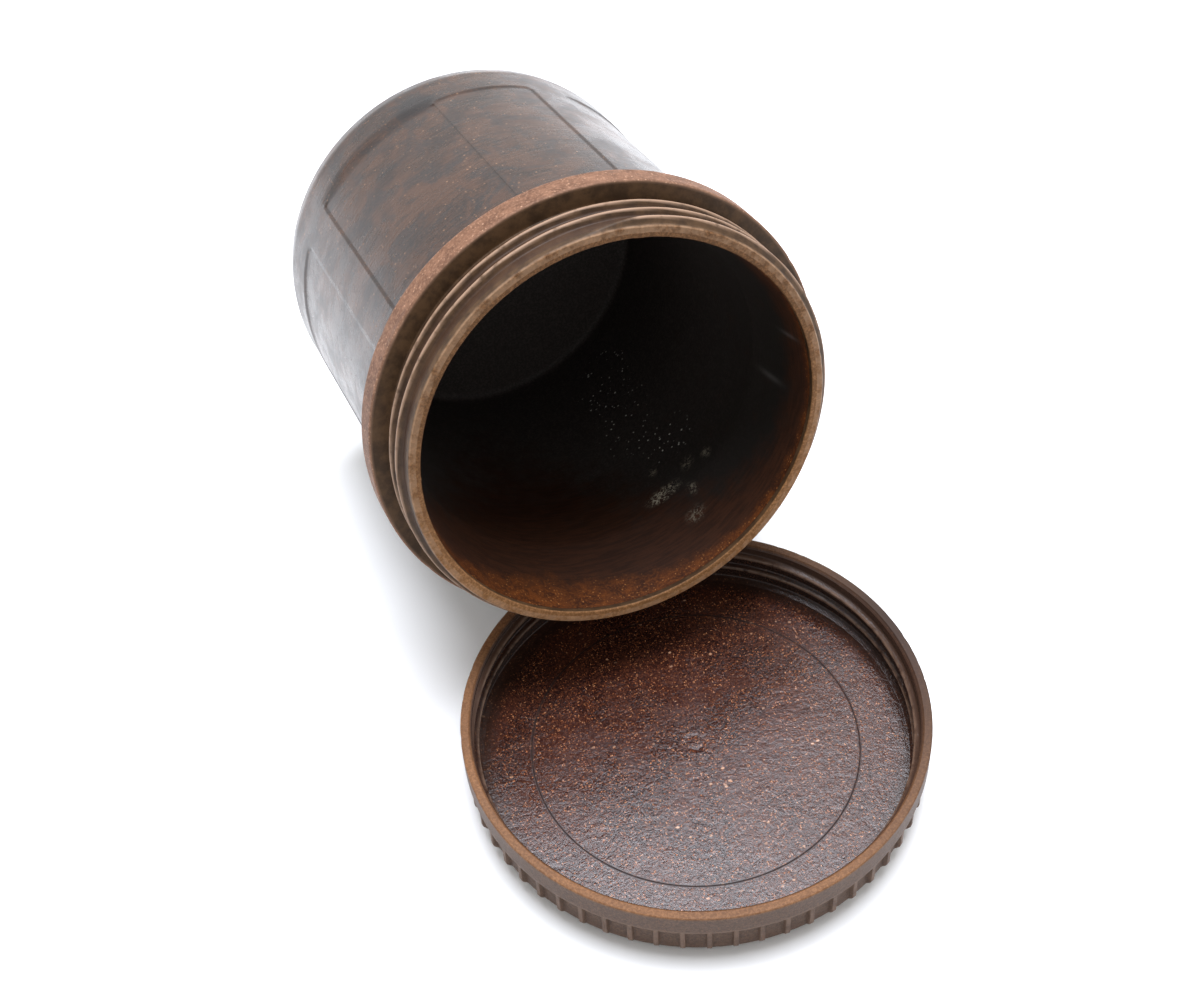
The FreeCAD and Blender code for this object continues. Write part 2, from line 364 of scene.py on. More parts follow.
def jar_neck():
    """Close rows over the thread and round the lip."""
    return rounded_path(
        [
            (NECK_RADIUS, NECK_LOW, 0),
            (NECK_RADIUS, JAR_LENGTH - LIP_BEVEL, 0.12),
            (NECK_RADIUS - LIP_BEVEL, JAR_LENGTH, 0.12),
            (MOUTH_RADIUS, JAR_LENGTH, 0.22),
            (MOUTH_RADIUS, MOUTH_LOW, 0),
        ],
        step=0.12,
    )


def jar_inside():
    """Rows down the bore and across its floor."""
    return rounded_path(
        [
            (MOUTH_RADIUS, MOUTH_LOW, 0),
            (MOUTH_RADIUS, MOUTH_LOW - 0.3, 0.6),
            (THROAT_RADIUS, JAR_LENGTH - THROAT_DEPTH, 9.0),
            (WELL_RADIUS, WELL_FLOOR, 1.0),
            (POLE_RADIUS, WELL_FLOOR, 0),
        ],
        step=1.1,
    )


def jar_base_mount():
    """The record's mount on the jar's base, whose axis points out of the base."""
    return next(item for item in frame["record"]["mounts"] if item["name"] == "jar_base")


def jar_place():
    """Where the jar's own axis stands at rest."""
    mount = jar_base_mount()
    up = -Vector(mount["axis"]).normalized()
    across = Vector((1, 0, 0))
    back = up.cross(across)
    turn = Matrix((across, back, up)).transposed().to_4x4()
    return Matrix.Translation(Vector(mount["pos_m"])) @ turn


def jar_azimuths():
    """Even columns, with a close pair astride each long edge of a facet."""
    spacing, clearance, half_gap = 0.6, 0.35, 0.1
    edges = facet_edges()
    columns = [edge + side for edge in edges for side in (-half_gap, half_gap)]
    for azimuth in np.arange(0, 360, spacing):
        if all(abs(azimuth - edge) > clearance for edge in edges):
            columns.append(azimuth)
    return np.array(sorted(columns))


def jar_zones(radius, height, outer):
    """For each part of the jar, 1 on it and 0 elsewhere."""
    wall = outer * (radius < WALL_RADIUS + 0.02) * (radius > BASE_RADIUS - 1.5)
    return {
        "outer": outer,
        "inner": 1 - outer,
        "wall": wall * (height < COLLAR_BACK + 0.35),
        "collar": outer * (radius > COLLAR_RADIUS - 0.5),
        "thread": outer * (height > COLLAR_FRONT + 0.3) * (height < JAR_LENGTH - 0.2),
    }


def jar_thread(turn, height, zones):
    """Height (0 to 1) of the neck's thread, which ends just below the lip."""
    start = JAR_LENGTH - NECK_START - PITCH * NECK_TURNS
    turns = NECK_TURNS + 0.04
    return ridge(turn, height, start, NECK_AZIMUTH, turns, top=0.16, foot=0.6, fade=0.06) * zones["thread"]


def jar_dents(turn, height, zones):
    """Shallow hollows in the wall, and fainter ones in the collar."""
    dents = np.maximum(waviness(turn, height, 0.035, rounds=9, length=26) + 0.06, 0)
    dents = dents * zones["wall"] * smoothstep(1.5, 5, height)
    dents += np.maximum(waviness(turn, height, 0.012, rounds=14, length=30) + 0.02, 0) * zones["collar"]
    return dents


def jar_knocks(turn, height, zones):
    """Small knocks along the collar's two edges and the lip."""
    near_lip = zones["outer"] * (height > JAR_LENGTH - 0.8)
    knocks = nicks(turn, height, COLLAR_FRONT, count=16, depth=0.10, width=0.5, seed=3) * zones["collar"]
    knocks += nicks(turn, height, COLLAR_BACK, count=12, depth=0.10, width=0.6, seed=4) * zones["collar"]
    knocks += nicks(turn, height, JAR_LENGTH, count=18, depth=0.08, width=0.5, seed=5) * near_lip
    return knocks


def jar_outer_marks(turn, radius, height, zones, thread):
    """Where the outside is worn, threaded or stained, and where light and shade are painted, from 0 to 1.
    """
    outer, wall, collar = zones["outer"], zones["wall"], zones["collar"]
    low_thread = zones["thread"] * (1 - smoothstep(0.1, 0.6, thread))
    return {
        "band": collar * smoothstep(COLLAR_BACK - 0.05, COLLAR_BACK + 0.3, height),
        # Painted highlight along the collar's front edge.
        "edge": collar * near_level(height, COLLAR_FRONT, 0.2),
        "lip": smoothstep(JAR_LENGTH - 0.25, JAR_LENGTH - 0.1, height),
        # Painted light: the lip's lower half is painted paler.
        "low": 1 - smoothstep(-0.7, 0.7, np.sin(turn)),
        "lip_edge": outer * near_level(height, JAR_LENGTH - 0.1, 0.14) * (radius > NECK_RADIUS - 1.0),
        # Painted highlight on the thread's crests.
        "crest": smoothstep(0.75, 0.98, thread),
        # Painted shade between the thread's ridges.
        "valley_shade": low_thread * (height < JAR_LENGTH - 1.2),
        "neck": outer * (height > COLLAR_FRONT - 0.2) * (radius < COLLAR_RADIUS - 0.25),
        # Painted shade along the facets' long edges.
        "facet_edge": edge_shade_line(turn) * wall * smoothstep(RING_HEIGHT, FEET_HIGH, height),
        "blotch": outer * spot(turn, height, WALL_RADIUS, 102, 8.8, 3.8, 3.4),
    }


def jar_inner_marks(turn, height, inner):
    """Where the inside is deep, dusty, crusted or scratched, and where light is painted inside the lip,
    from 0 to 1.
    """
    return {
        "inside": inner,
        "depth": inner * np.clip((JAR_LENGTH - height) / (JAR_LENGTH - WELL_FLOOR), 0, 1),
        # Painted light inside the lip, orange near the lip and brown further in.
        "orange": inner * painted_light_zone(turn, height, 245, 38, 2.2, 5.6),
        "brown": inner * painted_light_zone(turn, height, 250, 40, 6.0, 38.0),
        "dust": inner * dust_trail(turn, height),
        "crust": inner * crust_patches(turn, height),
        "scratch": inner * inner_scratches(turn, height),
    }


def build_jar():
    """The jar as one turned mesh, with its facets, thread, dents and knocks."""
    outside = np.concatenate([jar_foot(), facet_feet()[1:], jar_wall()[1:], jar_collar()[1:]])
    neck, inside = jar_neck(), jar_inside()
    path = np.concatenate([outside, neck[1:], inside[1:]])
    turn, radius, height = spread(path, jar_azimuths())
    outer = np.zeros(radius.shape)
    outer[: len(outside) + len(neck) - 1] = 1
    zones = jar_zones(radius, height, outer)
    cut = facet_cut(turn, height) * zones["wall"]
    dents = jar_dents(turn, height, zones)
    thread = jar_thread(turn, height, zones)
    knocks = jar_knocks(turn, height, zones)
    marks = jar_outer_marks(turn, radius, height, zones, thread)
    marks.update(jar_inner_marks(turn, height, zones["inner"]))
    radius = radius - cut - dents - knocks + thread * (NECK_CREST - NECK_RADIUS)
    return turned_mesh("jar_moulding", turn, radius, height, jar_place(), marks)


def edge_shade_line(turn):
    """Where shade is painted: thin lines along the facets' long edges."""
    off = [np.abs(angle_from(turn, azimuth)) * WALL_RADIUS for azimuth in facet_edges()]
    return np.exp(-((np.min(off, axis=0) / 0.22) ** 2))


def painted_light_zone(turn, height, azimuth, half_width, least, more):
    """Painted light: where light falling through the mouth is painted on the wall inside the lip, least mm
    deep, and more at one azimuth.
    """
    lower = np.exp(-((angle_from(turn, azimuth) / math.radians(half_width)) ** 2))
    return 1 - smoothstep(0.3, 1.6, (JAR_LENGTH - height) / (least + more * lower))


def dust_trail(turn, height):
    """Where dust clings: a trail along the wall that lies low at rest."""
    places = ((305, 16, 4, 4), (299, 21, 4.5, 3.5), (302, 29, 4.5, 4), (294, 34, 3, 3.5), (306, 42, 4, 4))
    return np.clip(sum(spot(turn, height, THROAT_RADIUS, *place) for place in places), 0, 1)


def crust_patches(turn, height):
    """Where dried ink has lifted: small patches on the wall that lies low at rest."""
    places = (
        (1.0, 293, 51.8, 3.4, 1.6),
        (0.5, 297, 59.5, 2.6, 2.1),
        (0.6, 305.7, 49.7, 1.6, 1.8),
        (0.6, 294.6, 45.8, 1.2, 1.3),
        (0.55, 312.7, 51.8, 1.5, 1.6),
        (0.55, 301.6, 55.1, 1.4, 1.6),
    )
    patches = [strength * spot(turn, height, THROAT_RADIUS, *place) for strength, *place in places]
    return np.clip(sum(patches), 0, 1)


def inner_scratches(turn, height):
    """Two short scratches just inside the mouth."""
    places = ((7.5, 64.5, 0.35, 2.0), (348.5, 59.0, 0.45, 2.6))
    return sum(spot(turn, height, THROAT_RADIUS, *place) for place in places)


def lid_outside():
    """Rows up the outside, from the middle of the closed face to the rim."""
    return rounded_path(
        [
            (POLE_RADIUS, 0, 0),
            (SKIRT_RADIUS - 3, 0, 0),
            (SKIRT_RADIUS, 0, SKIRT_EDGE),
            (SKIRT_RADIUS, BAND_FOOT, 0.1),
            (LID_RADIUS, BAND_FOOT, 0.15),
            (LID_RADIUS, LID_HEIGHT, 0.22),
            (RIM_MIDDLE, LID_HEIGHT, 0),
        ],
        step=0.45,
    )


def lid_inside():
    """Close rows down the thread and over the outer ring of the lid's floor."""
    return rounded_path(
        [
            (RIM_MIDDLE, LID_HEIGHT, 0),
            (LID_BORE + RIM_BEVEL, LID_HEIGHT, 0.12),
            (LID_BORE, LID_HEIGHT - RIM_BEVEL, 0.12),
            (LID_BORE, LID_FLOOR + SEAT_HEIGHT, 0.3),
            (SEAT_RADIUS, LID_FLOOR, 0.3),
            (DISC_SURROUND, LID_FLOOR, 0),
        ],
        step=0.13,
    )


def lid_floor():
    """Rows across the floor's raised disc and the plain ring at its centre."""
    disc_top = LID_FLOOR + DISC_RISE
    return rounded_path(
        [
            (DISC_SURROUND, LID_FLOOR, 0),
            (DISC_RADIUS + 0.3, LID_FLOOR, 0),
            (DISC_RADIUS, LID_FLOOR, 0.03),
            (DISC_RADIUS - DISC_RISE, disc_top, 0.03),
            (DISC_RADIUS - 0.35, disc_top, 0),
            (DOT_RADIUS + DOT_WIDTH / 2, disc_top, 0.05),
            (DOT_RADIUS, disc_top - DOT_DEPTH, 0.05),
            (DOT_RADIUS - DOT_WIDTH / 2, disc_top, 0.05),
            (DOT_POLE_RADIUS, disc_top, 0),
        ],
        step=0.9,
    )


# Height of one rib (0 to 1) against the distance from its middle, in millimetres.
RIB_STEPS = (0, RIB_WIDTH / 2 - 0.06, RIB_WIDTH / 2, RIB_WIDTH / 2 + 0.05, RIB_WIDTH / 2 + 0.2)
RIB_RISE = (1, 0.97, 0.86, 0.12, 0)


def lid_azimuths():
    """Columns for every rib: close together at its sides, wider apart between ribs."""
    offsets = (0.2, *RIB_STEPS[1:], 0.85, 1.2, 1.55)
    offsets = sorted([0.0, *offsets, *(-offset for offset in offsets)])
    spacing = 360 / RIB_COUNT
    return np.array([
        rib * spacing + math.degrees(offset / RIB_RADIUS) for rib in range(RIB_COUNT) for offset in offsets
    ])


def lid_ribs(turn, radius, height, outer):
    """Height (0 to 1) of the ribs round the skirt, fading out at their lower ends."""
    pitches = np.mod(turn * RIB_COUNT / (2 * math.pi) + 0.5, 1) - 0.5
    off = np.abs(pitches) * 2 * math.pi * RIB_RADIUS / RIB_COUNT
    skirt = outer * (radius > SKIRT_RADIUS - SKIRT_EDGE) * (height < BAND_FOOT - 0.02)
    return np.interp(off, RIB_STEPS, RIB_RISE) * skirt * smoothstep(RIB_FOOT - 0.3, RIB_FOOT + 1.3, height)


def lid_knocks(turn, height, on_band):
    """Small knocks along the rim and along the band's lower edge."""
    knocks = nicks(turn, height, LID_HEIGHT, count=26, depth=0.09, width=0.45, seed=11) * on_band
    knocks += nicks(turn, height, BAND_FOOT, count=20, depth=0.08, width=0.4, seed=12) * on_band
    return knocks


def lid_dents(turn, radius, height, outer):
    """Faint hollows in the band."""
    dents = np.maximum(waviness(turn, height, 0.015, rounds=12, length=30) + 0.02, 0)
    return dents * outer * (radius > SKIRT_RADIUS)


def lid_marks(turn, radius, height, outer, thread):
    """Where the lid is worn, threaded, brown or stepped, and where light and shade are painted, from 0 to
    1.
    """
    bore = 1 - outer
    near_rim = smoothstep(LID_HEIGHT - 3.0, LID_HEIGHT - 2.4, height)
    return {
        "rim": smoothstep(LID_HEIGHT - 0.35, LID_HEIGHT - 0.1, height),
        "browner": np.exp(-((angle_from(turn, 0) / math.radians(52)) ** 2)),
        # Painted highlight on the thread's crests.
        "crest": smoothstep(0.6, 0.95, thread),
        "rib": lid_ribs(turn, radius, height, outer),
        "outer": outer,
        # Painted light on the bore's upper wall.
        "lit_upper": bore * (radius > LID_CREST - 0.2) * near_rim,
        # Painted shade on the bore's wall and the floor beside it.
        "wall": bore * smoothstep(DISC_RADIUS + 4.5, SEAT_RADIUS, radius) * (height < LID_HEIGHT - 0.3),
        "edge": outer * (radius > LID_RADIUS - 0.6) * near_level(height, BAND_FOOT, 0.2),
        # Painted shade in a line round the disc's edge.
        "disc_edge": bore * near_level(radius, DISC_RADIUS - 0.02, 0.12),
    }


def floor_swells(turn, radius, bore):
    """Low swells over the lid's floor, none at its middle."""
    swells = waviness(turn, radius, 0.012, rounds=5, length=20) * bore * (radius < SEAT_RADIUS - 0.6)
    return np.minimum(swells, 0.02) * smoothstep(2, 5, radius)


def build_lid():
    """The lid as one turned mesh, with its ribs, thread, dents and knocks."""
    outside, inside, floor = lid_outside(), lid_inside(), lid_floor()
    path = np.concatenate([outside, inside[1:], floor[1:]])
    turn, radius, height = spread(path, lid_azimuths())
    outer = np.zeros(radius.shape)
    outer[: len(outside)] = 1
    bore = 1 - outer
    thread_rows = bore * (radius > SEAT_RADIUS + 0.2)
    thread = ridge(turn, height, LID_START, LID_AZIMUTH, LID_TURNS, top=0.2, foot=0.6) * thread_rows
    knocks = lid_knocks(turn, height, outer * (radius > LID_RADIUS - 0.6))
    dents = lid_dents(turn, radius, height, outer)
    marks = lid_marks(turn, radius, height, outer, thread)
    height = height + floor_swells(turn, radius, bore)
    ribs = marks["rib"] * (RIB_RADIUS - SKIRT_RADIUS)
    radius = radius + ribs - thread * (LID_BORE - LID_CREST) - knocks - dents
    return turned_mesh("lid_moulding", turn, radius, height, Matrix.Identity(4), marks)


# ---------------------------------------------------------------- materials

# A mix node has sockets for numbers and vectors as well, so its colour sockets go by number.
MIX_FIRST_COLOUR = 6
MIX_SECOND_COLOUR = 7
MIX_COLOUR_OUT = 2


class Shader:
    """A principled material whose nodes are added one call at a time."""

    def __init__(self, name, **settings):
        self.material = bpy.data.materials.new(name)
        self.material.use_nodes = True
        self.tree = self.material.node_tree
        self.surface = self.tree.nodes["Principled BSDF"]
        self.place = self.add("ShaderNodeTexCoord").outputs["Object"]
        for socket, value in settings.items():
            self.surface.inputs[socket.replace("_", " ")].default_value = value

    def add(self, kind, **settings):
        node = self.tree.nodes.new(kind)
        for key, value in settings.items():
            setattr(node, key, value)
        return node

    def plug(self, socket, value):
        """Link a node's output to the socket, or set the socket to a plain value."""
        if isinstance(value, bpy.types.NodeSocket):
            self.tree.links.new(value, socket)
        else:
            socket.default_value = value

    def mapped(self, place, scale=(1, 1, 1), turn=(0, 0, 0)):
        """The same texture place, stretched along its axes and then turned."""
        node = self.add("ShaderNodeMapping")
        self.plug(node.inputs["Vector"], place)
        node.inputs["Scale"].default_value = scale
        node.inputs["Rotation"].default_value = turn
        return node.outputs["Vector"]

    def noise(self, size_mm, detail=3.0, roughness=0.55, place=None, warp=0.0):
        """Cloudy noise whose blotches are about size_mm across."""
        node = self.add("ShaderNodeTexNoise")
        self.plug(node.inputs["Vector"], self.place if place is None else place)
        node.inputs["Scale"].default_value = 1 / (size_mm * MM)
        node.inputs["Detail"].default_value = detail
        node.inputs["Roughness"].default_value = roughness
        node.inputs["Distortion"].default_value = warp
        return node.outputs["Fac"]

    def cells(self, size_mm, place=None):
        """Distance to scattered points about size_mm apart, and two random numbers for each."""
        node = self.add("ShaderNodeTexVoronoi")
        self.plug(node.inputs["Vector"], self.place if place is None else place)
        node.inputs["Scale"].default_value = 1 / (size_mm * MM)
        split = self.add("ShaderNodeSeparateColor")
        self.plug(split.inputs["Color"], node.outputs["Color"])
        return node.outputs["Distance"], split.outputs["Red"], split.outputs["Green"]

    def ramp(self, value, low, high):
        """0 below low, 1 above high, smooth between."""
        node = self.add("ShaderNodeMapRange", interpolation_type="SMOOTHSTEP")
        self.plug(node.inputs["Value"], value)
        node.inputs["From Min"].default_value = low
        node.inputs["From Max"].default_value = high
        return node.outputs["Result"]

    def level(self, share, low, high):
        """A number that goes from low to high as share goes from 0 to 1."""
        node = self.add("ShaderNodeMapRange")
        self.plug(node.inputs["Value"], share)
        self.plug(node.inputs["To Min"], low)
        self.plug(node.inputs["To Max"], high)
        return node.outputs["Result"]

    def maths(self, operation, first, second):
        node = self.add("ShaderNodeMath", operation=operation)
        self.plug(node.inputs[0], first)
        self.plug(node.inputs[1], second)
        return node.outputs[0]

    def times(self, first, second):
        return self.maths("MULTIPLY", first, second)

    def patches(self, value, low, high, strength):
        """A ramp that only reaches up to strength."""
        return self.times(self.ramp(value, low, high), strength)

    def larger(self, first, second):
        return self.maths("MAXIMUM", first, second)

    def blend(self, share, first, second):
        node = self.add("ShaderNodeMix", data_type="RGBA")
        self.plug(node.inputs["Factor"], share)
        self.plug(node.inputs[MIX_FIRST_COLOUR], first)
        self.plug(node.inputs[MIX_SECOND_COLOUR], second)
        return node.outputs[MIX_COLOUR_OUT]

    def mark(self, name):
        """One of the mesh's own attributes, from 0 to 1."""
        return self.add("ShaderNodeAttribute", attribute_name=name).outputs["Fac"]

    def bump(self, value, depth_mm, under=None):
        node = self.add("ShaderNodeBump")
        node.inputs["Distance"].default_value = depth_mm * MM
        self.plug(node.inputs["Height"], value)
        if under is not None:
            self.plug(node.inputs["Normal"], under)
        return node.outputs["Normal"]

    def wear(self, colours, share, colour_on_top):
        """One more layer of colour over those so far."""
        return self.blend(share, colours, colour_on_top)

    def finish(self, matt, gloss, roughest, dullest):
        """Glossy where matt is 0, and rough with a weak shine where it is 1."""
        self.plug(self.surface.inputs["Roughness"], self.level(matt, gloss, roughest))
        self.plug(self.surface.inputs["Specular IOR Level"], self.level(matt, 0.5, dullest))


def colour(red, green, blue):
    """A linear colour, opaque."""
    return (red, green, blue, 1.0)


def fibres(shader, size_mm, share, stretch=(1, 1, 1), radius=0.36):
    """Wood-flour fibres: a random few of the cells, each a small dot of its own brightness."""
    ragged = shader.add("ShaderNodeVectorMath", operation="MULTIPLY_ADD")
    wobble = shader.add("ShaderNodeTexNoise")
    wobble.inputs["Scale"].default_value = 1 / (0.3 * MM)
    shader.plug(wobble.inputs["Vector"], shader.place)
    shader.plug(ragged.inputs[0], wobble.outputs["Color"])
    ragged.inputs[1].default_value = (0.25 * MM,) * 3
    shader.plug(ragged.inputs[2], shader.place)
    distance, chance, brightness = shader.cells(size_mm, shader.mapped(ragged.outputs[0], stretch))
    chosen = shader.ramp(chance, 1 - share, 1 - share + 0.02)
    dot = shader.maths("SUBTRACT", 1.0, shader.ramp(distance, radius * 0.45, radius))
    return shader.times(shader.times(chosen, dot), shader.level(brightness, 0.35, 1.0))


def jar_streaks(shader, along_mm, around_mm):
    """Fine marks that run round the jar: short along its axis, long around it."""
    upright = math.asin(-jar_base_mount()["axis"][2])
    local = shader.mapped(shader.place, turn=(upright - math.pi / 2, 0, 0))
    squeeze = (along_mm / around_mm, along_mm / around_mm, 1)
    return shader.noise(along_mm, 3, 0.6, place=shader.mapped(local, squeeze))


JAR_BROWN = colour(0.020, 0.0115, 0.0085)
JAR_REDDISH = colour(0.058, 0.027, 0.0155)
JAR_GREY = colour(0.019, 0.0165, 0.0165)
JAR_PALE_STREAK = colour(0.085, 0.044, 0.028)
JAR_DARK_STREAK = colour(0.014, 0.010, 0.009)
JAR_GRAIN = colour(0.095, 0.048, 0.030)
JAR_FIBRE = colour(0.27, 0.15, 0.085)
# Painted shade along the facets' long edges.
JAR_EDGE_SHADE = colour(0.014, 0.010, 0.008)
JAR_BLOTCH = colour(0.009, 0.008, 0.009)


def jar_body_colour(shader, grain, streaks):
    """Dark brown moulding, mottled redder and greyer, with a few pale fibres and painted shade along the
    facets' long edges.
    """
    cloud = shader.noise(9, 5, 0.66, warp=0.8)
    grey = shader.noise(6, 5, 0.66, warp=1.0)
    base = shader.blend(shader.ramp(cloud, 0.36, 0.64), JAR_BROWN, JAR_REDDISH)
    base = shader.wear(base, shader.patches(grey, 0.46, 0.6, 0.75), JAR_GREY)
    base = shader.wear(base, shader.patches(streaks, 0.5, 0.72, 0.4), JAR_PALE_STREAK)
    base = shader.wear(base, shader.patches(streaks, 0.48, 0.3, 0.4), JAR_DARK_STREAK)
    base = shader.wear(base, shader.patches(grain, 0.5, 0.7, 0.5), JAR_GRAIN)
    base = shader.wear(base, shader.times(fibres(shader, 0.55, 0.12), 0.75), JAR_FIBRE)
    # Painted shade along the facets' long edges.
    line = shader.times(shader.mark("facet_edge"), shader.ramp(shader.noise(3, 3), 0.3, 0.55))
    base = shader.wear(base, shader.times(line, 0.4), JAR_EDGE_SHADE)
    return shader.wear(base, shader.patches(shader.mark("blotch"), 0.1, 0.7, 0.85), JAR_BLOTCH)


RUBBED_DARK = colour(0.105, 0.047, 0.025)
RUBBED_PALE = colour(0.190, 0.092, 0.052)
RUBBED_GRAIN = colour(0.31, 0.165, 0.10)
RUBBED_FIBRE = colour(0.50, 0.30, 0.19)
RUBBED_PIT = colour(0.060, 0.027, 0.015)


def rubbed_tan(shader, grain):
    """The paler brown of the collar, where the moulding's skin has worn off."""
    patches = shader.ramp(shader.noise(2.2, 5, 0.65), 0.35, 0.65)
    tan = shader.blend(patches, RUBBED_DARK, RUBBED_PALE)
    tan = shader.wear(tan, shader.patches(grain, 0.46, 0.66, 0.6), RUBBED_GRAIN)
    tan = shader.wear(tan, shader.times(fibres(shader, 0.5, 0.35), 0.8), RUBBED_FIBRE)
    return shader.wear(tan, shader.times(fibres(shader, 0.6, 0.2), 0.6), RUBBED_PIT)


NECK_DARK = colour(0.042, 0.0215, 0.009)
NECK_OLIVE = colour(0.088, 0.046, 0.020)
# Painted shade between the thread's ridges, and a painted highlight on its crests.
NECK_VALLEY_SHADE = colour(0.036, 0.016, 0.009)
NECK_CREST_HIGHLIGHT = colour(0.33, 0.21, 0.14)


def neck_olive_and_painted_light(shader, base):
    """Olive brown over the neck, with painted shade between the thread's ridges and a painted highlight on
    them.
    """
    patches = shader.ramp(shader.noise(2.5, 5, 0.65), 0.35, 0.65)
    olive = shader.blend(patches, NECK_DARK, NECK_OLIVE)
    base = shader.wear(base, shader.times(shader.mark("neck"), 0.95), olive)
    # Painted shade between the thread's ridges, then a painted highlight on its crests.
    base = shader.wear(base, shader.times(shader.mark("valley_shade"), 0.6), NECK_VALLEY_SHADE)
    crest = shader.times(shader.mark("crest"), shader.ramp(shader.noise(1.5, 3), 0.2, 0.5))
    return shader.wear(base, shader.times(crest, 0.9), NECK_CREST_HIGHLIGHT)


LIP_DARK = colour(0.080, 0.034, 0.010)
LIP_TAN = colour(0.175, 0.080, 0.030)
# A paler copy of the lip's tan: painted light on the half that lies low at rest.
LIP_LIT_DARK = colour(0.155, 0.070, 0.024)
LIP_LIT_TAN = colour(0.30, 0.145, 0.058)
LIP_EDGE = colour(0.32, 0.20, 0.12)


def lip_wear_and_painted_light(shader, grain, base):
    """Tan over the lip, with painted light making the half that lies low at rest paler, and rubbed at its
    outer edge.
    """
    high_tan = shader.blend(shader.ramp(grain, 0.4, 0.7), LIP_DARK, LIP_TAN)
    lit_tan = shader.blend(shader.ramp(grain, 0.4, 0.7), LIP_LIT_DARK, LIP_LIT_TAN)
    base = shader.wear(base, shader.mark("lip"), shader.blend(shader.mark("low"), high_tan, lit_tan))
    lip_edge = shader.times(shader.mark("lip_edge"), shader.ramp(shader.noise(1.8, 3), 0.3, 0.6))
    return shader.wear(base, shader.times(lip_edge, 0.7), LIP_EDGE)


SOOT_DARK = colour(0.034, 0.028, 0.025)
SOOT_PALE = colour(0.064, 0.052, 0.047)
SOOT_BLACK = colour(0.010, 0.0078, 0.0062)
# Painted light inside the lip: brown further in, then orange with grain and fibres near the lip.
DIM_LIT_DARK = colour(0.022, 0.0075, 0.003)
DIM_LIT_PALE = colour(0.037, 0.0125, 0.005)
LIT_INSIDE_DARK = colour(0.034, 0.0085, 0.0018)
LIT_INSIDE_ORANGE = colour(0.100, 0.026, 0.004)
LIT_INSIDE_GRAIN = colour(0.19, 0.056, 0.010)
LIT_INSIDE_FIBRE = colour(0.38, 0.15, 0.045)


def ink_stain_and_painted_light(shader, grain, streaks):
    """Inside: almost black ink stain, greyer towards the floor, with painted light in brown and then
    orange on the low wall inside the lip.
    """
    grey_soot = shader.blend(shader.ramp(grain, 0.4, 0.7), SOOT_DARK, SOOT_PALE)
    soot = shader.blend(shader.ramp(shader.mark("depth"), 0.05, 0.6), SOOT_BLACK, grey_soot)
    dim_lit = shader.blend(shader.ramp(streaks, 0.35, 0.65), DIM_LIT_DARK, DIM_LIT_PALE)
    mottle = shader.ramp(shader.noise(2.2, 6, 0.75), 0.38, 0.62)
    lit_inside = shader.blend(mottle, LIT_INSIDE_DARK, LIT_INSIDE_ORANGE)
    lit_inside = shader.wear(lit_inside, shader.patches(grain, 0.45, 0.68, 0.6), LIT_INSIDE_GRAIN)
    edge = shader.level(shader.noise(3.5, 6, 0.72), -0.7, 0.7)
    brown = shader.ramp(shader.maths("ADD", shader.mark("brown"), edge), 0.0, 0.95)
    orange = shader.ramp(shader.maths("ADD", shader.mark("orange"), edge), 0.15, 1.2)
    # Painted light over the stain: brown further in, orange near the lip.
    stain = shader.blend(orange, shader.blend(brown, soot, dim_lit), lit_inside)
    return shader.wear(stain, shader.times(fibres(shader, 0.45, 0.3), orange), LIT_INSIDE_FIBRE)


def dried_ink(shader):
    """Lifted crust, in nets within the crust patches."""
    web = shader.ramp(shader.noise(0.7, 5, 0.75, warp=1.2), 0.47, 0.6)
    return shader.times(web, shader.ramp(shader.mark("crust"), 0.2, 0.8))


def dust(shader):
    """Crisp pale specks along the dust trail."""
    specks = fibres(shader, 0.75, 0.42, radius=0.28)
    return shader.times(specks, shader.ramp(shader.mark("dust"), 0.1, 0.5))


# Painted highlight for the collar's front edge.
COLLAR_EDGE_HIGHLIGHT = colour(0.22, 0.13, 0.085)
DRIED_INK = colour(0.36, 0.32, 0.24)
DUST = colour(0.90, 0.88, 0.80)
SCRATCH = colour(0.20, 0.19, 0.18)


def jar_colour(shader, grain, streaks, band, dried):
    """Every layer of the jar's colour, from the moulding up to the dust and scratches."""
    base = jar_body_colour(shader, grain, streaks)
    base = shader.wear(base, band, rubbed_tan(shader, grain))
    base = neck_olive_and_painted_light(shader, base)
    base = lip_wear_and_painted_light(shader, grain, base)
    # Painted highlight along the collar's front edge.
    base = shader.wear(base, shader.times(shader.mark("edge"), 0.4), COLLAR_EDGE_HIGHLIGHT)
    base = shader.wear(base, shader.mark("inside"), ink_stain_and_painted_light(shader, grain, streaks))
    base = shader.wear(base, dried, DRIED_INK)
    base = shader.wear(base, dust(shader), DUST)
    return shader.wear(base, shader.times(shader.mark("scratch"), 0.25), SCRATCH)


def jar_material():
    """Dark phenolic, glossy on the wall and matt where it is worn or stained."""
    shader = Shader("dark_phenolic", IOR=1.45)
    grain = shader.noise(0.4, 3, 0.7)
    streaks = jar_streaks(shader, 0.5, 4.0)
    band = shader.times(shader.mark("band"), shader.ramp(shader.noise(7, 4), 0.12, 0.36))
    dried = dried_ink(shader)
    shader.plug(shader.surface.inputs["Base Color"], jar_colour(shader, grain, streaks, band, dried))
    matt = shader.larger(shader.larger(band, shader.mark("lip")), shader.times(shader.mark("neck"), 0.75))
    matt = shader.larger(matt, shader.larger(dried, shader.mark("inside")))
    gloss = shader.level(shader.ramp(shader.noise(6, 5, 0.65), 0.35, 0.65), 0.22, 0.34)
    shader.finish(matt, gloss, roughest=0.62, dullest=0.25)
    ripple = shader.bump(shader.noise(4.0, 3), 0.04)
    brushed = shader.bump(streaks, 0.02, ripple)
    shader.plug(shader.surface.inputs["Normal"], shader.bump(grain, 0.022, brushed))
    return shader.material


